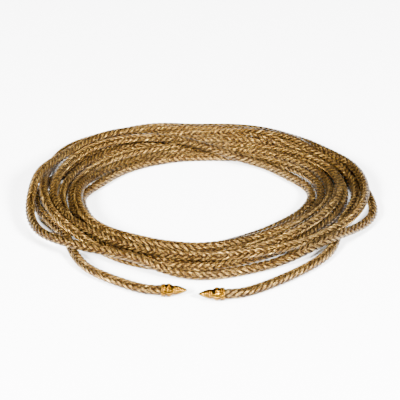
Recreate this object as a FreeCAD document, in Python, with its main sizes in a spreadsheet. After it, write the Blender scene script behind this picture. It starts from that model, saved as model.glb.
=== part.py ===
"""A ligature cord for a saxophone mouthpiece: one long round braid, coiled for storage, with a
bell-and-cone tip on each end. Millimetres, +Z up, origin under the middle of the whole thing."""

import FreeCAD, Part
import math
import os

import Sketcher
from FreeCAD import Placement, Rotation, Vector

# Driving dimensions. A tip is measured along its own axis, from the mouth that takes the cord.
SIZES = [
    ("cord_diameter", 2.0, "outside of the braid"),
    ("coil_half_width", 37.5, "middle of the coil to its outer side, along X"),
    ("coil_half_depth", 35.6, "middle of the coil to its outer side, along Y"),
    ("coil_middle_y", 4.0, "the coil lies behind the origin, the tips in front"),
    ("opening_half_width", 24.0, "middle of the coil's opening to its side, along X"),
    ("opening_half_depth", 20.5, "middle of the coil's opening to its side, along Y"),
    ("opening_middle_y", 0.5, "the turns are spread wider at the back"),
    ("coil_height", 5.2, "two to three turns on top of each other"),
    ("coil_edge_round", 1.0, "one cord radius"),
    ("left_mouth_x", -7.9, "mouth of the left tip"),
    ("left_mouth_y", -36.9, "axis of the left tip"),
    ("right_mouth_x", 4.2, "mouth of the right tip"),
    ("right_mouth_y", -38.3, "axis of the right tip"),
    ("bell_radius", 1.3, "widest part of the tip, which lies on the table"),
    ("seat_radius", 1.1, "where the bead collar is soldered on"),
    ("shoulder_radius", 1.22, "bell, just past the collar"),
    ("neck_radius", 0.85, "waist between the bell and the cone"),
    ("collar_length", 0.8, "two rows of beads"),
    ("collar_foot_radius", 1.15, "valley between the rows of beads"),
    ("bell_middle", 1.3, "mouth to the widest part"),
    ("cap_length", 2.45, "mouth to the foot of the cone"),
    ("bore_depth", 1.6, "socket for the cord"),
    ("straight_lead", 1.3, "straight stretch of cord in front of the mouth"),
    ("whipping_start", 0.4, "mouth to the first turn of thread"),
    ("whipping_thickness", 0.15, "the thread draws the braid in by this much"),
    ("cone_length", 2.55, "foot of the cone to its point"),
    ("cone_foot_radius", 0.9, "the cone under its first ridge"),
    ("cone_ridge_round", 0.32, "section of each ridge"),
    ("point_radius", 0.12, "blunt end of the cone"),
]
CONE_RIDGES = 5
BEAD_ROWS = 2
THREAD_TURNS = 7

# Routes of the two stretches that aren't coiled, from under the outer turn to near the tip.
# Heights are of the cord's centre line, which is one radius above the table.
LEFT_ROUTE = [
    (-27.6, -16.4, 1.0),
    (-26.2, -21.9, 1.0),
    (-22.6, -28.0, 1.0),
    (-17.6, -32.2, 1.0),
    (-12.2, -35.6, 1.0),
]
RIGHT_ROUTE = [
    (27.0, -15.6, 1.0),
    (25.4, -21.6, 1.0),
    (21.2, -27.0, 1.0),
    (15.0, -32.6, 1.0),
    (8.8, -37.0, 1.0),
]
ARC_SHARE = 0.45  # how much of the shorter run an arc may take

doc = FreeCAD.newDocument("ligature_cord")
sheet = doc.addObject("Spreadsheet::Sheet", "sizes")
for row, (alias, value, note) in enumerate(SIZES, start=1):
    sheet.set(f"A{row}", alias)
    sheet.set(f"B{row}", str(value))
    sheet.set(f"C{row}", note)
    sheet.setAlias(f"B{row}", alias)
doc.recompute()


def size(expression):
    """The value of an expression in the sheet's aliases."""
    return float(sheet.evalExpression(expression))


def ellipse_prism(name, half_width, half_depth, middle_y):
    """An upright solid with an elliptical outline, as tall as the coil."""
    outline = doc.addObject("Part::Ellipse", name + "_outline")
    outline.setExpression("MajorRadius", half_width)
    outline.setExpression("MinorRadius", half_depth)
    outline.setExpression("Placement.Base.y", middle_y)
    prism = doc.addObject("Part::Extrusion", name)
    prism.Base = outline
    prism.DirMode = "Custom"
    prism.Dir = Vector(0, 0, 1)
    prism.Solid = True
    prism.setExpression("LengthFwd", "sizes.coil_height")
    return prism


def make_coil():
    """The outer shape of the coiled turns: an oval ring with rounded edges."""
    ring = doc.addObject("Part::Cut", "coil_ring")
    ring.Base = ellipse_prism(
        "coil_outside", "sizes.coil_half_width", "sizes.coil_half_depth", "sizes.coil_middle_y"
    )
    ring.Tool = ellipse_prism(
        "coil_opening",
        "sizes.opening_half_width",
        "sizes.opening_half_depth",
        "sizes.opening_middle_y",
    )
    doc.recompute()
    coil = doc.addObject("Part::Fillet", "cord_coil")
    coil.Base = ring
    radius = size("sizes.coil_edge_round")
    coil.Edges = [
        (number, radius, radius)
        for number, edge in enumerate(ring.Shape.Edges, start=1)
        if edge.BoundBox.ZLength < radius
    ]
    return coil


def draw_outline(sketch, outline):
    """Draws and constrains a closed outline. A corner is (x, y) or (x, y, radius), all of them
    expressions: with a radius, the way to the next corner is an arc that bulges outward."""
    places = [Vector(size(corner[0]), size(corner[1]), 0) for corner in outline]
    last = len(outline) - 1
    for index, corner in enumerate(outline):
        start = places[index]
        end = places[0] if index == last else places[index + 1]
        if len(corner) == 2:
            sketch.addGeometry(Part.LineSegment(start, end))
            continue
        radius = size(corner[2])
        half_chord = (end - start).Length / 2
        bulge = radius - math.sqrt(radius**2 - half_chord**2)
        outward = Vector(start.y - end.y, end.x - start.x, 0).normalize()
        sketch.addGeometry(Part.Arc(start, (start + end) / 2 + outward * bulge, end))
    # A sketch keeps every arc anticlockwise, so these arcs start at their second corner.
    first_point = [1 if len(corner) == 2 else 2 for corner in outline]
    for index, corner in enumerate(outline):
        following = 0 if index == last else index + 1
        sketch.addConstraint(
            Sketcher.Constraint(
                "Coincident", index, 3 - first_point[index], following, first_point[following]
            )
        )
        for kind, axis in (("DistanceX", 0), ("DistanceY", 1)):
            constraint = Sketcher.Constraint(
                kind, -1, 1, index, first_point[index], places[index][axis]
            )
            number = sketch.addConstraint(constraint)
            sketch.setExpression(f"Constraints[{number}]", corner[axis])
        if len(corner) == 3:
            number = sketch.addConstraint(
                Sketcher.Constraint("Radius", index, size(corner[2]))
            )
            sketch.setExpression(f"Constraints[{number}]", corner[2])


def turned_piece(side, name, outline):
    """A piece of a tip, turned about the tip's axis, in its place."""
    body = doc.addObject("PartDesign::Body", f"{side}_{name}")
    plane = next(o for o in body.Origin.OriginFeatures if o.Role == "XY_Plane")
    sketch = body.newObject("Sketcher::SketchObject", f"{side}_{name}_outline")
    sketch.AttachmentSupport = [(plane, "")]
    sketch.MapMode = "FlatFace"
    draw_outline(sketch, outline)
    turned = body.newObject("PartDesign::Revolution", f"{side}_{name}_turned")
    turned.Profile = sketch
    turned.ReferenceAxis = (sketch, ["H_Axis"])
    turned.Angle = 360
    body.Placement = Placement(Vector(), Rotation(Vector(0, 0, 1), 0 if side == "left" else 180))
    body.setExpression("Placement.Base.x", f"sizes.{side}_mouth_x")
    body.setExpression("Placement.Base.y", f"sizes.{side}_mouth_y")
    body.setExpression("Placement.Base.z", "sizes.bell_radius")
    return body


def arc_radius(rise, half_width):
    """The radius, as an expression, of an arc so high over half its chord."""
    return f"(({half_width})^2 + ({rise})^2) / (2 * ({rise}))"


def ringed_outline(start, end, inside, valley, crest, rings):
    """Outline of a sleeve with round rings about it."""
    pitch = f"(({end}) - ({start})) / {rings}"
    radius = arc_radius(f"{crest} - ({valley})", f"({pitch}) / 2")
    outline = [(start, inside)]
    for ring in range(rings):
        outline.append((f"{start} + {ring} * ({pitch})", valley, radius))
    outline.append((end, valley))
    outline.append((end, inside))
    return outline


def cap_outline():
    """The bell: a socket for the cord, a seat for the collar and a solid neck."""
    bore = "sizes.cord_diameter / 2"
    front_rise = "sizes.bell_radius - sizes.shoulder_radius"
    back_rise = "sizes.bell_radius - sizes.neck_radius"
    front = arc_radius(front_rise, "sizes.bell_middle - sizes.collar_length")
    back = arc_radius(back_rise, "sizes.cap_length - sizes.bell_middle")
    return [
        ("0", bore),
        ("0", "sizes.seat_radius"),
        ("sizes.collar_length", "sizes.seat_radius"),
        ("sizes.collar_length", "sizes.shoulder_radius", front),
        ("sizes.bell_middle", "sizes.bell_radius", back),
        ("sizes.cap_length", "sizes.neck_radius"),
        ("sizes.cap_length", "0"),
        ("sizes.bore_depth", "0"),
        ("sizes.bore_depth", bore),
    ]


def cone_outline():
    """The finial: round ridges that shrink to a blunt point."""
    outline = []
    for ridge in range(CONE_RIDGES):
        share = f"{ridge} / {CONE_RIDGES}"
        along = f"sizes.cap_length + sizes.cone_length * {share}"
        taper = f"(sizes.cone_foot_radius - sizes.point_radius) * {share}"
        outline.append((along, f"sizes.cone_foot_radius - {taper}", "sizes.cone_ridge_round"))
    point = "sizes.cap_length + sizes.cone_length"
    return outline + [(point, "sizes.point_radius"), (point, "0"), ("sizes.cap_length", "0")]


def make_tip(side):
    """The pieces of one tip, and the thread that binds the cord's end inside it."""
    collar = ringed_outline(
        "0",
        "sizes.collar_length",
        "sizes.seat_radius",
        "sizes.collar_foot_radius",
        "sizes.bell_radius",
        BEAD_ROWS,
    )
    thread = ringed_outline(
        "sizes.whipping_start",
        "sizes.bore_depth",
        "sizes.cord_diameter / 2 - sizes.whipping_thickness",
        "sizes.cord_diameter / 2 - sizes.whipping_thickness / 2",
        "sizes.cord_diameter / 2",
        THREAD_TURNS,
    )
    return [
        turned_piece(side, "tip_cap", cap_outline()),
        turned_piece(side, "tip_collar", collar),
        turned_piece(side, "tip_cone", cone_outline()),
        turned_piece(side, "tip_whipping", thread),
    ]


def route_wire(label, corners):
    """A wire of straight runs joined by tangent arcs, each as large as its two runs allow."""
    edges = []
    radii = []
    reached = corners[0]
    for before, corner, after in zip(corners, corners[1:], corners[2:]):
        back = (before - corner).normalize()
        ahead = (after - corner).normalize()
        half_turn = (math.pi - back.getAngle(ahead)) / 2
        shorter = min((before - corner).Length, (after - corner).Length)
        setback = ARC_SHARE * shorter
        radius = setback / math.tan(half_turn)
        bisector = (back + ahead).normalize()
        middle = corner + bisector * (radius / math.cos(half_turn) - radius)
        start = corner + back * setback
        end = corner + ahead * setback
        edges.append(Part.LineSegment(reached, start).toShape())
        edges.append(Part.Arc(start, middle, end).toShape())
        radii.append(round(radius, 1))
        reached = end
    edges.append(Part.LineSegment(reached, corners[-1]).toShape())
    print(label, "bend radii", radii)
    return Part.Wire(edges)


def make_end(side, route, coil):
    """The stretch of cord from the coil's side to the bottom of its tip's socket, where the
    whipping draws it in."""
    label = f"{side}_cord_end"
    inward = Vector(1 if side == "left" else -1, 0, 0)
    mouth = Vector(
        size(f"sizes.{side}_mouth_x"), size(f"sizes.{side}_mouth_y"), size("sizes.bell_radius")
    )
    whipping = mouth + inward * size("sizes.whipping_start")
    socket_end = mouth + inward * size("sizes.bore_depth")
    corners = [Vector(*point) for point in route]
    corners.append(mouth - inward * size("sizes.straight_lead"))
    corners.append(socket_end)

    path = route_wire(label, corners)
    radius = size("sizes.cord_diameter") / 2
    section = Part.Wire(Part.makeCircle(radius, corners[0], corners[1] - corners[0]))
    tube = path.makePipeShell([section], True, False)
    expected = math.pi * radius**2 * path.Length
    print(label, "volume", round(tube.Volume, 2), "section times length", round(expected, 2))

    bound_length = (socket_end - whipping).Length
    bound_radius = radius - size("sizes.whipping_thickness")
    sleeve = Part.makeCylinder(2 * radius, bound_length, whipping, inward)
    sleeve = sleeve.cut(Part.makeCylinder(bound_radius, bound_length, whipping, inward))
    end = doc.addObject("Part::Feature", label)
    end.Shape = tube.cut(coil.Shape).cut(sleeve)
    end.Placement = Placement()
    return end


coil = make_coil()
left_tip = make_tip("left")
right_tip = make_tip("right")
doc.recompute()
left_end = make_end("left", LEFT_ROUTE, coil)
right_end = make_end("right", RIGHT_ROUTE, coil)
doc.recompute()

pieces = [coil, left_end, right_end] + left_tip + right_tip
for thing in doc.Objects:
    if "Invalid" in thing.State or "Error" in thing.State:
        raise RuntimeError(f"{thing.Label} failed: {thing.State}")
for piece in pieces:
    if piece.Shape.isNull() or not piece.Shape.isValid():
        raise RuntimeError(f"{piece.Label} has no valid shape")
    box = piece.Shape.optimalBoundingBox()
    print(piece.Label, len(piece.Shape.Solids), round(piece.Shape.Volume, 3), box)

os.makedirs("parts", exist_ok=True)
for piece in pieces:
    piece.Shape.exportStep(f"parts/{piece.Label}.step")
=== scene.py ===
import math

import bpy
import numpy as np
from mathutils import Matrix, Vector


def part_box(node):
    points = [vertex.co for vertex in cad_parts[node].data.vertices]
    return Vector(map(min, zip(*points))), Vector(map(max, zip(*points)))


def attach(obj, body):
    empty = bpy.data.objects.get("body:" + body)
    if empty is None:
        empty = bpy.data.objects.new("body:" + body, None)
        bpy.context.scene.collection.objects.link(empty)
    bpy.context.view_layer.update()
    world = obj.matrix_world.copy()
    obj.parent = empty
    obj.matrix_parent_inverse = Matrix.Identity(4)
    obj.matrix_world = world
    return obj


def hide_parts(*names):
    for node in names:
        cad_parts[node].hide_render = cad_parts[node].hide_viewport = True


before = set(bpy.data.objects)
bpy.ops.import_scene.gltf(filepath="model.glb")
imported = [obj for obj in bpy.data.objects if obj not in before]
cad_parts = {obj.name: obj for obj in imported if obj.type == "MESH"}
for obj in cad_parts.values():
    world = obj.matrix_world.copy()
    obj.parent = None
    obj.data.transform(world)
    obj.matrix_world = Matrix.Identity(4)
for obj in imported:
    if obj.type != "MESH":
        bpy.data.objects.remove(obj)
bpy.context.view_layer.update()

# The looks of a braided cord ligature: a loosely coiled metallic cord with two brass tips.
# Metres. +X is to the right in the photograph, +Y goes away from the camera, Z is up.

MM = 0.001
D = 2.0 * MM                      # cord diameter
COIL_MIDDLE_Y = 4.0 * MM          # the coil lies behind the origin, the tips in front

# The two free ends, from the socket in each tip to where the cord joins the coil, in mm.
LEFT_END = (
    (-6.3, -36.9, 1.3), (-9.2, -36.9, 1.3), (-12.2, -35.6, 1.0), (-17.6, -32.2, 1.0),
    (-22.6, -28.0, 1.0), (-25.6, -21.8, 1.0), (-26.9, -16.2, 1.0),
)
RIGHT_END = (
    (2.6, -38.3, 1.3), (5.5, -38.3, 1.3), (8.8, -37.0, 1.0), (15.0, -32.6, 1.0),
    (21.2, -27.0, 1.0), (25.4, -21.6, 1.0), (27.0, -15.6, 1.0),
)
# The eight turns of the coil, in the order in which the cord runs. A point is (degrees, distance
# from the middle, height of the centreline), both in cord diameters. The degrees are counted from
# the front by the left: 90 is the left side, 180 the back and 270 the right side.
TURNS = (
    # 1: from the left free end, on the table but for a hump over the seventh at the back right
    (
        (36, 18.9, 0.5), (45, 18.0, 0.5), (54, 16.55, 0.5), (60, 16.35, 0.5), (68, 16.8, 0.5),
        (76, 17.4, 0.5), (84, 17.7, 0.5), (90, 17.75, 0.5), (96, 17.4, 0.5), (102, 16.7, 0.5),
        (108, 16.0, 0.5), (120, 16.0, 0.5), (135, 15.9, 0.5), (150, 15.7, 0.5), (165, 15.6, 0.5),
        (180, 15.45, 0.5), (195, 15.4, 0.8), (207, 15.2, 1.3), (220, 14.75, 1.0), (232, 14.8, 0.6),
        (243, 15.0, 0.5), (255, 15.3, 0.5), (270, 15.15, 0.5), (285, 14.6, 0.5), (300, 14.1, 0.5),
        (315, 14.0, 0.5), (330, 14.3, 0.5), (345, 14.8, 0.5),
    ),
    # 2: on the first at the left, then outermost round the back, then on the others at the right
    (
        (0, 15.4, 0.5), (15, 16.1, 0.5), (30, 16.3, 0.5), (45, 15.9, 0.6), (60, 16.5, 1.3),
        (68, 16.65, 1.4), (75, 16.75, 1.5), (84, 16.8, 1.55), (90, 17.0, 1.45), (96, 17.25, 1.2),
        (102, 17.45, 0.75), (108, 17.65, 0.55), (114, 18.1, 0.5), (120, 18.7, 0.5),
        (127, 19.0, 0.5), (133, 19.0, 0.5), (140, 18.6, 0.5), (150, 18.2, 0.5), (160, 18.5, 0.5),
        (168, 17.8, 0.5), (175, 16.9, 0.5), (180, 16.85, 0.5), (188, 17.3, 0.5), (205, 17.5, 0.5),
        (212, 17.1, 0.55), (220, 16.0, 0.9), (228, 15.6, 1.2), (240, 15.9, 1.35), (252, 17.0, 1.4),
        (270, 17.25, 1.4), (285, 17.15, 1.4), (300, 16.8, 1.4), (315, 16.4, 1.4), (330, 15.7, 1.4),
        (345, 15.5, 1.4),
    ),
    # 3: crosses the inner turns at the back, on top of them, and goes on innermost at the right
    (
        (0, 15.5, 1.4), (15, 15.3, 1.3), (30, 15.0, 0.9), (45, 14.95, 0.6), (60, 15.35, 0.6),
        (75, 15.75, 0.9), (84, 15.95, 1.0), (92, 15.95, 1.15), (98, 15.9, 1.35), (108, 15.95, 1.4),
        (120, 16.0, 1.4), (135, 15.5, 1.4), (150, 14.1, 1.4), (165, 12.2, 1.4), (178, 10.2, 1.3),
        (190, 9.0, 1.4), (200, 8.9, 1.1), (210, 9.2, 0.8), (225, 9.9, 0.5), (240, 10.15, 0.5),
        (248, 10.45, 0.5), (255, 11.0, 0.5), (262, 11.55, 0.5), (270, 11.9, 0.5),
        (285, 11.55, 0.5), (300, 11.0, 0.5), (315, 10.6, 0.5), (330, 10.7, 0.5), (345, 11.1, 0.5),
    ),
    # 4: innermost at the front, left and back, and second at the right
    (
        (0, 12.2, 0.5), (15, 12.6, 0.5), (30, 12.8, 0.5), (45, 13.2, 0.5), (60, 13.2, 0.5),
        (75, 13.0, 0.5), (84, 13.1, 0.5), (89, 13.0, 0.5), (95, 12.38, 0.5), (101, 11.55, 0.5),
        (107, 11.15, 0.5), (120, 10.6, 0.5), (135, 10.0, 0.5), (150, 9.5, 0.5), (165, 9.3, 0.5),
        (180, 9.2, 0.5), (190, 9.3, 0.5), (200, 9.8, 0.5), (210, 10.2, 0.5), (225, 11.0, 0.5),
        (240, 12.0, 0.5), (248, 12.45, 0.5), (255, 12.75, 0.5), (262, 12.75, 0.5),
        (270, 12.7, 0.5), (285, 12.4, 0.6), (300, 11.9, 0.7), (315, 11.5, 0.7), (330, 11.9, 0.8),
        (345, 12.8, 1.1),
    ),
    # 5: rides on its neighbours at the left front, and lies on the table at the back
    (
        (0, 13.6, 1.3), (15, 13.6, 1.4), (30, 13.5, 1.4), (38, 13.8, 1.4), (45, 14.0, 1.4),
        (60, 13.8, 1.4), (75, 13.3, 1.4), (85, 12.95, 1.3), (95, 12.45, 1.0), (105, 12.4, 0.5),
        (113, 12.1, 0.5), (120, 11.8, 0.5), (135, 11.2, 0.5), (150, 10.8, 0.5), (165, 10.7, 0.5),
        (180, 10.8, 0.5), (195, 11.4, 0.5), (210, 12.2, 0.5), (225, 13.1, 0.5), (240, 13.7, 0.5),
        (255, 13.8, 0.6), (270, 13.5, 0.7), (285, 13.1, 0.9), (300, 12.7, 1.0), (315, 12.5, 1.0),
        (330, 12.8, 0.9), (345, 13.6, 0.6),
    ),
    # 6: on the table, then over the first at the right
    (
        (0, 14.1, 0.5), (15, 14.2, 0.5), (30, 14.2, 0.5), (45, 14.2, 0.5), (60, 14.1, 0.5),
        (75, 13.95, 0.6), (90, 13.9, 0.7), (105, 13.75, 0.5), (120, 13.4, 0.5), (135, 13.1, 0.5),
        (150, 12.5, 0.5), (165, 12.1, 0.5), (180, 12.0, 0.5), (195, 12.5, 0.5), (210, 13.3, 0.5),
        (225, 14.0, 0.5), (240, 14.6, 0.8), (255, 14.9, 1.2), (270, 14.7, 1.3), (285, 14.1, 1.4),
        (300, 13.8, 1.4), (315, 13.7, 1.2), (330, 13.7, 0.8), (345, 13.9, 0.6),
    ),
    # 7: on the table, swings out past all others at the right, then over the right free end
    (
        (0, 14.9, 0.5), (15, 15.0, 0.5), (30, 15.1, 0.5), (45, 15.1, 0.5), (60, 14.9, 0.5),
        (75, 14.8, 0.5), (90, 14.9, 0.5), (105, 14.8, 0.5), (120, 14.75, 0.5), (135, 14.55, 0.5),
        (150, 14.1, 0.5), (165, 13.75, 0.5), (178, 13.62, 0.5), (188, 13.92, 0.5),
        (197, 14.55, 0.5), (207, 15.15, 0.5), (217, 15.7, 0.5), (225, 15.8, 0.5), (240, 16.5, 0.5),
        (255, 17.2, 0.5), (268, 17.35, 0.5), (275, 17.75, 0.5), (281, 18.25, 0.5),
        (286, 18.4, 0.5), (292, 18.1, 0.5), (300, 17.3, 0.7), (307, 17.0, 1.1), (315, 16.8, 1.3),
        (325, 16.7, 0.9), (330, 16.6, 0.6), (345, 16.9, 0.5),
    ),
    # 8: over the left free end, outermost at the left, in over the second, then out to the right end
    (
        (0, 17.6, 0.5), (10, 17.4, 0.6), (22, 16.5, 1.3), (30, 16.7, 1.3), (40, 17.6, 1.4),
        (48, 18.4, 1.4), (60, 19.05, 0.9), (70, 18.65, 0.9), (78, 18.15, 1.1), (84, 17.75, 1.35),
        (90, 17.45, 1.55), (96, 17.15, 1.75), (102, 16.65, 1.85), (108, 16.35, 1.75),
        (114, 16.3, 1.55), (120, 16.45, 1.4), (127, 16.8, 1.35), (135, 17.0, 1.3),
        (142, 17.1, 1.3), (150, 16.7, 1.15), (160, 16.8, 0.8), (170, 16.45, 0.6), (180, 16.1, 0.6),
        (195, 16.2, 0.6), (210, 15.7, 0.9), (225, 15.0, 1.3), (240, 15.05, 1.1), (255, 16.05, 0.7),
        (270, 16.35, 0.5), (285, 15.7, 0.5), (295, 15.5, 0.5), (306, 16.6, 0.5), (315, 17.9, 0.5),
        (324, 18.5, 0.5),
    ),
)
TURN_STEP = 6                     # degrees between the spline's points in a turn
FIRST_TURN_FROM = 60              # where the left free end joins the first turn, degrees
LAST_TURN_TO = 300                # where the last turn leaves for the right free end
ON_TABLE = 0.5                    # height of the centreline of a turn on the table, in diameters
LEAST_GAP = 0.05                  # keeps a push finite where two turns share a place, in diameters


def smooth(values):
    """Each value moved halfway to the mean of its neighbours."""
    moved = values.copy()
    moved[1:-1] = values[1:-1] * 0.5 + (values[:-2] + values[2:]) * 0.25
    return moved


def lay_down(radius, height, per_turn, rounds=200, give=0.02):
    """The turns pressed apart where they would share a place, and kept on the table.

    All are in diameters. Each round first smooths how far the points have moved and takes back a
    small share of it, so a turn stays where it was put unless another one is in the way.
    """
    r, z = radius.copy(), height.copy()
    slope = np.gradient(radius) / (radius * math.radians(TURN_STEP))
    lean = 1 / np.sqrt(1 + slope**2)
    for _ in range(rounds):
        r = radius + smooth(r - radius) * (1 - give)
        z = np.maximum(height + smooth(z - height) * (1 - give), ON_TABLE)
        for lag in range(per_turn, len(r), per_turn):
            near, far = slice(0, len(r) - lag), slice(lag, None)
            out = (r[far] - r[near]) * np.minimum(lean[near], lean[far])
            up = z[far] - z[near]
            gap = np.maximum(np.hypot(out, up), LEAST_GAP)
            push = np.maximum(0, 1 - gap) * 0.5 / gap
            r[far] += push * out
            r[near] -= push * out
            z[far] += push * up
            z[near] -= push * up
    return r, np.maximum(z, ON_TABLE)


def coil_points():
    """The coil's points, in metres, from where the left end joins to where the right end leaves."""
    rows = [(360 * k + a, r, h) for k, turn in enumerate(TURNS) for a, r, h in turn]
    around, radius, height = (np.array(v, float) for v in zip(*rows))
    angle = np.arange(around[0], around[-1] + 0.1, TURN_STEP)
    r, z = lay_down(
        smooth(np.interp(angle, around, radius)),
        smooth(np.interp(angle, around, height)),
        360 // TURN_STEP,
    )
    last = 360 * (len(TURNS) - 1) + LAST_TURN_TO
    kept = (angle >= FIRST_TURN_FROM) & (angle <= last)
    a, r, z = np.radians(angle[kept]), r[kept] * D, z[kept] * D
    return np.stack([-r * np.sin(a), COIL_MIDDLE_Y - r * np.cos(a), z], 1)


def spline_curve(name, points):
    """A curve object of one open NURBS spline with these control points."""
    curve = bpy.data.curves.new(name, "CURVE")
    curve.dimensions = "3D"
    spline = curve.splines.new("NURBS")
    spline.points.add(len(points) - 1)
    for point, place in zip(spline.points, points):
        point.co = (*place, 1)
    spline.order_u = 3
    spline.use_endpoint_u = True
    curve.resolution_u = 8
    obj = bpy.data.objects.new(name, curve)
    bpy.context.scene.collection.objects.link(obj)
    return obj


def read_line(obj):
    """The points along a curve that has no bevel yet."""
    mesh = bpy.data.meshes.new_from_object(obj)
    line = np.empty(len(mesh.vertices) * 3)
    mesh.vertices.foreach_get("co", line)
    bpy.data.meshes.remove(mesh)
    return line.reshape(-1, 3)


def even(line, step):
    """The same line with points this far apart, and how far along each one is."""
    gone = np.concatenate([[0], np.cumsum(np.linalg.norm(np.diff(line, axis=0), axis=1))])
    along = np.linspace(0, gone[-1], int(gone[-1] / step) + 1)
    return np.stack([np.interp(along, gone, line[:, k]) for k in range(3)], 1), along


def unit(v):
    """These vectors at length one."""
    return v / np.linalg.norm(v, axis=-1, keepdims=True)


def mesh_object(name, vertices, faces, material, smooth_shade=True):
    """A new object in the scene, with this mesh and material."""
    mesh = bpy.data.meshes.new(name)
    mesh.from_pydata(np.asarray(vertices).tolist(), [], faces)
    mesh.materials.append(material)
    mesh.polygons.foreach_set("use_smooth", [smooth_shade] * len(mesh.polygons))
    mesh.update()
    obj = bpy.data.objects.new(name, mesh)
    bpy.context.scene.collection.objects.link(obj)
    return obj


def skin(rings, columns):
    """Quads between rings of this many points each, with both ends closed."""
    k = np.arange(columns)
    row = np.stack([k, (k + 1) % columns, (k + 1) % columns + columns, k + columns], 1)
    quads = (row[None] + (np.arange(rings - 1) * columns)[:, None, None]).reshape(-1, 4)
    faces = quads.tolist()
    faces.append(list(range(columns))[::-1])
    faces.append([(rings - 1) * columns + c for c in range(columns)])
    return faces


class Nodes:
    """A shorthand for building one material's nodes."""

    def __init__(self, name):
        self.material = bpy.data.materials.new(name)
        self.material.use_nodes = True
        self.tree = self.material.node_tree
        self.bsdf = self.tree.nodes["Principled BSDF"]

    def add(self, kind, **settings):
        node = self.tree.nodes.new(kind)
        for key, value in settings.items():
            setattr(node, key, value)
        return node

    def join(self, start, end):
        self.tree.links.new(start, end)

    def maths(self, operation, a, b=0.0):
        node = self.add("ShaderNodeMath", operation=operation)
        for socket, value in zip(node.inputs, (a, b)):
            if isinstance(value, (int, float)):
                socket.default_value = value
            else:
                self.join(value, socket)
        return node.outputs[0]

    def noise(self, scale, detail=2.0, vector=None):
        node = self.add("ShaderNodeTexNoise")
        node.inputs["Scale"].default_value = scale
        node.inputs["Detail"].default_value = detail
        if vector is None:
            vector = self.add("ShaderNodeTexCoord").outputs["Object"]
        self.join(vector, node.inputs["Vector"])
        return node.outputs["Fac"]

    def ramp(self, factor, *stops):
        node = self.add("ShaderNodeValToRGB")
        while len(node.color_ramp.elements) < len(stops):
            node.color_ramp.elements.new(0.5)
        for element, (place, colour) in zip(node.color_ramp.elements, stops):
            element.position = place
            element.color = (*colour, 1)
        self.join(factor, node.inputs[0])
        return node.outputs[0]

    def mix(self, factor, a, b):
        node = self.add("ShaderNodeMix", data_type="RGBA")
        for socket, value in ((node.inputs[0], factor), (node.inputs[6], a), (node.inputs[7], b)):
            if isinstance(value, (int, float)):
                socket.default_value = value
            elif isinstance(value, tuple):
                socket.default_value = (*value, 1)
            else:
                self.join(value, socket)
        return node.outputs[2]

    def bump(self, height, distance, strength=1.0):
        node = self.add("ShaderNodeBump")
        node.inputs["Distance"].default_value = distance
        node.inputs["Strength"].default_value = strength
        self.join(height, node.inputs["Height"])
        self.join(node.outputs[0], self.bsdf.inputs["Normal"])

    def set(self, **values):
        for key, value in values.items():
            self.bsdf.inputs[key.replace("_", " ")].default_value = value


FILAMENTS = 9.0                   # across one strand
SLANT = 1.7                       # how far they lie askew, in filaments per cord diameter


def yarn_material():
    """Fine metallic filaments: painted gold glints, and painted shade, brown, in the grooves.

    Attribute fibre holds the place across a strand (-1 to 1), the place along it in diameters and
    a number of the strand's own. Attribute crown is 1 where the strand is on top of a crossing;
    where it is lower, the strand gets painted shade.
    """
    n = Nodes("metallic_yarn")
    fibre = n.add("ShaderNodeAttribute", attribute_name="fibre")
    split = n.add("ShaderNodeSeparateXYZ")
    n.join(fibre.outputs["Vector"], split.inputs[0])
    across, along, own = split.outputs
    # fine filaments, lying a little askew on the strand
    slanted = n.maths("MULTIPLY", along, SLANT)
    phase = n.maths("ADD", n.maths("MULTIPLY", across, FILAMENTS), slanted)
    lines = n.maths("SINE", n.maths("MULTIPLY", phase, math.pi))
    # painted glints: short bright streaks along the filaments, near black between them, different in
    # each strand
    stretched = n.add("ShaderNodeCombineXYZ")
    n.join(n.maths("MULTIPLY", across, 5.0), stretched.inputs[0])
    n.join(n.maths("MULTIPLY", along, 2.2), stretched.inputs[1])
    n.join(own, stretched.inputs[2])
    glint = n.noise(1.6, 4.0, stretched.outputs[0])
    gold = n.ramp(
        glint,
        (0.38, (0.010, 0.0035, 0.0003)),
        (0.48, (0.038, 0.0175, 0.0030)),
        (0.57, (0.155, 0.078, 0.0140)),
        (0.64, (0.95, 0.58, 0.15)),
    )
    # the duller worn patches carry the same painted glints
    worn_and_glints = n.ramp(
        glint,
        (0.38, (0.010, 0.005, 0.001)),
        (0.50, (0.052, 0.032, 0.0120)),
        (0.65, (0.62, 0.41, 0.15)),
    )
    # duller patches, about 18 mm across
    patch = n.ramp(n.noise(55.0, 1.0), (0.50, (0, 0, 0)), (0.68, (0.55, 0.55, 0.55)))
    colour = n.mix(patch, gold, worn_and_glints)
    # painted shade: dark along a strand's edges and where it goes under
    edge_shade = n.maths("POWER", n.maths("ABSOLUTE", across), 2.0)
    crown = n.add("ShaderNodeAttribute", attribute_name="crown").outputs["Fac"]
    yarn_unshaded = n.maths("MULTIPLY", n.maths("SUBTRACT", 1.0, n.maths("MULTIPLY", edge_shade, 0.9)), crown)
    colour = n.mix(yarn_unshaded, (0.008, 0.0025, 0.0002), colour)
    n.join(colour, n.bsdf.inputs["Base Color"])
    n.set(Metallic=0.85, Roughness=0.32, Specular_IOR_Level=0.15)
    n.bump(n.maths("ADD", lines, n.maths("MULTIPLY", glint, 2.0)), 0.00003, 0.6)
    return n.material


def core_shade_material():
    """The inside of the braid, coloured near black as painted shade."""
    n = Nodes("inner_yarn_shade")
    n.join(n.ramp(n.noise(2500.0), (0.3, (0.006, 0.002, 0.0003)), (0.7, (0.020, 0.008, 0.001))),
           n.bsdf.inputs["Base Color"])
    n.set(Roughness=0.9, Specular_IOR_Level=0.0)
    n.bump(n.noise(3000.0), 0.00003)
    return n.material


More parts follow.
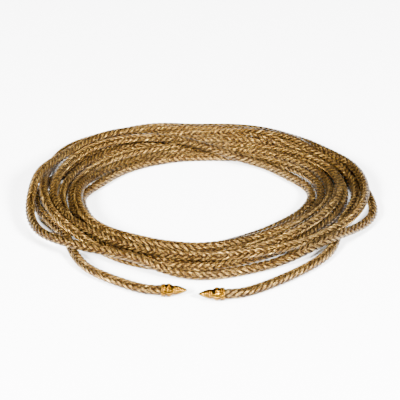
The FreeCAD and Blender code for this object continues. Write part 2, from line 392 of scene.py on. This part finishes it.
def brass_material():
    """Brass with painted shade: dark in the recesses between the grains, bright on what stands out.
    """
    n = Nodes("tip_brass")
    # relief is 1 on what stands out and lower in the recesses, where it paints shade
    relief = n.add("ShaderNodeAttribute", attribute_name="relief").outputs["Fac"]
    relief = n.maths("POWER", relief, 2.0)
    wear = n.noise(900.0, 3.0)
    bright = n.ramp(wear, (0.3, (0.080, 0.026, 0.0010)), (0.7, (0.36, 0.178, 0.008)))
    n.join(n.mix(relief, (0.006, 0.0018, 0.0002), bright), n.bsdf.inputs["Base Color"])
    n.join(n.ramp(wear, (0.3, (0.22, 0.22, 0.22)), (0.7, (0.14, 0.14, 0.14))),
           n.bsdf.inputs["Roughness"])
    n.set(Metallic=1.0)
    n.bump(n.noise(2600.0, 3.0), 0.00002, 0.4)
    return n.material


def thread_material():
    """Fine matt thread."""
    n = Nodes("whipping_thread")
    n.join(n.ramp(n.noise(4000.0), (0.3, (0.16, 0.09, 0.03)), (0.7, (0.45, 0.30, 0.13))),
           n.bsdf.inputs["Base Color"])
    n.set(Roughness=0.7)
    n.bump(n.noise(5000.0), 0.00003)
    return n.material


YARN = yarn_material()
CORE_SHADE = core_shade_material()
BRASS = brass_material()
THREAD = thread_material()

# ---- camera ----
camera_data = bpy.data.cameras.new("camera")
camera_data.lens = 134.4          # frames the coil as the photograph does
camera_data.sensor_width = 36.0
camera_data.clip_end = 10
camera = bpy.data.objects.new("camera", camera_data)
bpy.context.scene.collection.objects.link(camera)
LOOK_AT = Vector((-0.5, 3.1, 0.0)) * MM
camera.location = Vector((-0.5, -280.0, 144.2)) * MM      # 27 degrees above the table
camera.rotation_euler = (LOOK_AT - camera.location).to_track_quat("-Z", "Y").to_euler()
bpy.context.scene.camera = camera

# ---- the cord ----
left = [Vector(p) * MM for p in LEFT_END]
right = [Vector(p) * MM for p in reversed(RIGHT_END)]
route = left + [Vector(p) for p in coil_points()] + right
core = spline_curve("cord_core", route)
LINE = read_line(core)
core.data.bevel_depth = 0.35 * D  # as far out as the strands that go under
core.data.bevel_resolution = 3
core.data.use_fill_caps = True
core.data.materials.append(CORE_SHADE)

BRAID_PITCH = 4.0 * D             # one strand's full turn round the cord
STRANDS_EACH_WAY = 6
STRAND_WIDTH = 0.31 * D
STRAND_THICK = 0.20 * D
OVER = 0.5 * D - STRAND_THICK / 2  # from the cord's middle to a strand that goes over
UNDER = 0.25 * D                  # and to one that goes under
SNAP = 3.2                        # how quickly a strand goes from under to over
SECTION = 8                       # points round one strand
STRAND_STEP = 0.125 * D           # between its rings of points
# The cord turns a little to and fro about its own line as it lies. Each wave of that turning is
# (size in radians, length in metres for one radian of phase, phase at the start).
ROLL_WAVES = ((0.9, 0.083, 0.0), (0.6, 0.031, 1.3))


def strands():
    """Six strands wound each way. Each passes over in two quarters and under in the others."""
    place, along = even(LINE, STRAND_STEP)
    ahead = unit(np.gradient(place, axis=0))
    side = unit(np.cross(ahead, (0, 0, 1)))
    up = np.cross(side, ahead)
    roll = sum(size * np.sin(along / length + start) for size, length, start in ROLL_WAVES)
    around = np.arange(SECTION) * 2 * math.pi / SECTION
    faces = skin(len(place), SECTION)
    made = []
    for k in range(2 * STRANDS_EACH_WAY):
        way = 1 if k < STRANDS_EACH_WAY else -1
        turn = way * 2 * math.pi * along / BRAID_PITCH + k * 2 * math.pi / STRANDS_EACH_WAY
        if way < 0:
            turn = turn + math.pi / STRANDS_EACH_WAY
        over = way * np.sin(2 * turn)
        lift = 0.5 + 0.5 * np.tanh(SNAP * over)
        ring = UNDER + (OVER - UNDER) * lift
        tilt = np.arctan2(way * ring * 2 * math.pi, BRAID_PITCH)
        out = 0.5 * STRAND_WIDTH * np.cos(around)
        rise = 0.5 * STRAND_THICK * np.sin(around)
        shift = -np.sin(tilt)[:, None] * out
        angle = (turn + roll)[:, None] + np.cos(tilt)[:, None] * out / ring[:, None]
        reach = ring[:, None] + rise
        points = (
            place[:, None]
            + shift[..., None] * ahead[:, None]
            + (reach * np.cos(angle))[..., None] * side[:, None]
            + (reach * np.sin(angle))[..., None] * up[:, None]
        )
        strand = mesh_object(f"strand_{k + 1}", points.reshape(-1, 3), faces, YARN)
        fibre = strand.data.attributes.new("fibre", "FLOAT_VECTOR", "POINT")
        values = np.empty((len(place), SECTION, 3))
        values[..., 0] = np.cos(around)
        values[..., 1] = along[:, None] / D
        values[..., 2] = 7.0 * k
        fibre.data.foreach_set("vector", values.ravel())
        # below 1, crown lets the painted shade in where the strand goes under
        crown = np.clip(over, 0, 1) ** 0.8
        strand.data.attributes.new("crown", "FLOAT", "POINT").data.foreach_set(
            "value", np.repeat(crown, SECTION)
        )
        made.append(strand)
    return made


STRANDS = strands()
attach(core, "root")
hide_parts("cord_coil", "left_cord_end", "right_cord_end")
for strand in STRANDS:
    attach(strand, "root")

# ---- the tips ----
# Each profile is (share of the piece's length from the mouth end, radius in mm).
CAP_PROFILE = ((0, 1.05), (0.04, 1.16), (0.34, 1.18), (0.40, 1.14), (0.58, 1.27), (0.72, 1.22),
               (0.88, 0.98), (1, 0.84))
# The mouth of the cap covers the collar, so the collar doesn't show.
COLLAR_PROFILE = ((0, 0.82), (0.2, 1.0), (0.5, 1.06), (0.8, 1.0), (1, 0.84))
CONE_PROFILE = ((0, 0.84), (0.12, 0.93), (0.45, 0.74), (0.75, 0.46), (0.93, 0.24), (1, 0.08))
TIP_AXIS = 1.3 * MM               # the widest part of a tip lies on the table
GRAINS = 16                       # grains round the mouth of a cap
GRAIN_ROW = 0.18                  # one row of them, as a share of the cap's length
FLUTES = 12                       # flutes round the bell
CONE_WINDINGS = 6                 # turns of the row of grains that winds up the cone
# How far each relief stands out, in mm. It starts from a body that is a little too thin.
GRAIN_HEIGHT = 0.13
FLUTE_HEIGHT = 0.09
TWIST_HEIGHT = 0.10
CONE_HEIGHT = 0.14
BODY_SHRINK = 0.04


# Each relief function takes the share of the piece's length and the angle round it. It returns how
# far the surface stands out, in mm, and how bright the metal is painted there, darker in the
# recesses as painted shade, from 0 to 1.


def cap_relief(x, a):
    """Two rows of grains round the mouth, then shallow flutes down the bell."""
    half = GRAIN_ROW / 2
    first = x < GRAIN_ROW
    row = np.where(first, x - half, x - 3 * half) / half
    shift = np.where(first, 0, math.pi / GRAINS)
    grain = np.sqrt(np.clip(1 - row**2, 0, 1) * np.abs(np.cos(GRAINS / 2 * (a + shift))))
    bell = np.clip((x - 0.38) / 0.62, 0, 1)
    flute = (0.5 + 0.5 * np.cos(FLUTES * a)) ** 0.6 * np.sin(math.pi * bell) ** 0.5
    mouth = x < 2 * GRAIN_ROW
    rise = np.where(mouth, grain * GRAIN_HEIGHT, flute * FLUTE_HEIGHT)
    # the second value is painted shade in the hollows between the grains and the flutes
    return rise, np.where(mouth, grain, 0.15 + 0.85 * flute)


def collar_relief(x, a):
    """A ring twisted like a rope."""
    twist = np.abs(np.cos(5 * a + 3.0 * x)) ** 0.7
    # the second value is painted shade between the twists
    return twist * TWIST_HEIGHT, 0.05 + 0.95 * twist


def cone_relief(x, a):
    """Rows of grains that wind up to the point."""
    rows = CONE_WINDINGS * x + a / (2 * math.pi)
    grain = np.abs(np.sin(math.pi * rows)) ** 0.6 * np.abs(np.cos(4 * a + 5 * x)) ** 0.5
    # the second value is painted shade between the grains
    return grain * CONE_HEIGHT * (1 - 0.75 * x), grain


def turned(name, profile, relief, rings, columns=80):
    """A tip piece in place of the CAD node of that name: its profile turned, with its relief."""
    low, high = (Vector(v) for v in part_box(name))
    mouth, far = (low.x, high.x) if name.startswith("left") else (high.x, low.x)
    middle = (low + high) / 2
    share = np.linspace(0, 1, rings)
    x, a = np.meshgrid(share, np.arange(columns) * 2 * math.pi / columns, indexing="ij")
    places, radii = zip(*profile)
    rise, brass_unshaded = relief(x, a)
    radius = (np.interp(x, places, radii) - BODY_SHRINK + rise) * MM
    points = np.stack([
        mouth + (far - mouth) * x,
        middle.y + radius * np.cos(a),
        TIP_AXIS + radius * np.sin(a),
    ], -1)
    faces = skin(rings, columns)
    if far < mouth:
        faces = [face[::-1] for face in faces]
    piece = mesh_object(name + "_look", points.reshape(-1, 3), faces, BRASS)
    # the relief attribute carries the painted shade of the recesses
    piece.data.attributes.new("relief", "FLOAT", "POINT").data.foreach_set("value", brass_unshaded.ravel())
    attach(piece, "root")
    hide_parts(name)
    return piece


for side in ("left", "right"):
    turned(side + "_tip_cap", CAP_PROFILE, cap_relief, 60)
    turned(side + "_tip_collar", COLLAR_PROFILE, collar_relief, 16)
    turned(side + "_tip_cone", CONE_PROFILE, cone_relief, 70)
WHIPPINGS = ["left_tip_whipping", "right_tip_whipping"]
for name in WHIPPINGS:
    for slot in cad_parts[name].material_slots:
        slot.material = THREAD

# ---- floor and light ----
floor_nodes = Nodes("pale_table")
floor_nodes.set(Base_Color=(0.96, 0.96, 0.96, 1), Roughness=0.6)
FAR = 3.0                         # from the middle of the floor to its sides, in metres
floor = mesh_object(
    "floor", [(-FAR, -FAR, 0), (FAR, -FAR, 0), (FAR, FAR, 0), (-FAR, FAR, 0)], [[0, 1, 2, 3]],
    floor_nodes.material, smooth_shade=False,
)


def softbox(name, place, size, power):
    """A square white lamp that points at the middle of the table. Metres and watts."""
    data = bpy.data.lights.new(name, "AREA")
    data.shape = "SQUARE"
    data.size = size
    data.energy = power
    lamp = bpy.data.objects.new(name, data)
    bpy.context.scene.collection.objects.link(lamp)
    lamp.location = place
    lamp.rotation_euler = (-Vector(place)).to_track_quat("-Z", "Y").to_euler()


softbox("front_left", (-0.45, -0.62, 0.44), 0.2, 81)
softbox("front_right", (0.55, -0.52, 0.44), 0.2, 72)
softbox("top", (0.0, 0.1, 0.9), 0.4, 16)
world = bpy.data.worlds.new("world")
world.use_nodes = True
background = world.node_tree.nodes["Background"]
background.inputs["Color"].default_value = (1, 1, 1, 1)
background.inputs["Strength"].default_value = 0.1
bpy.context.scene.world = world
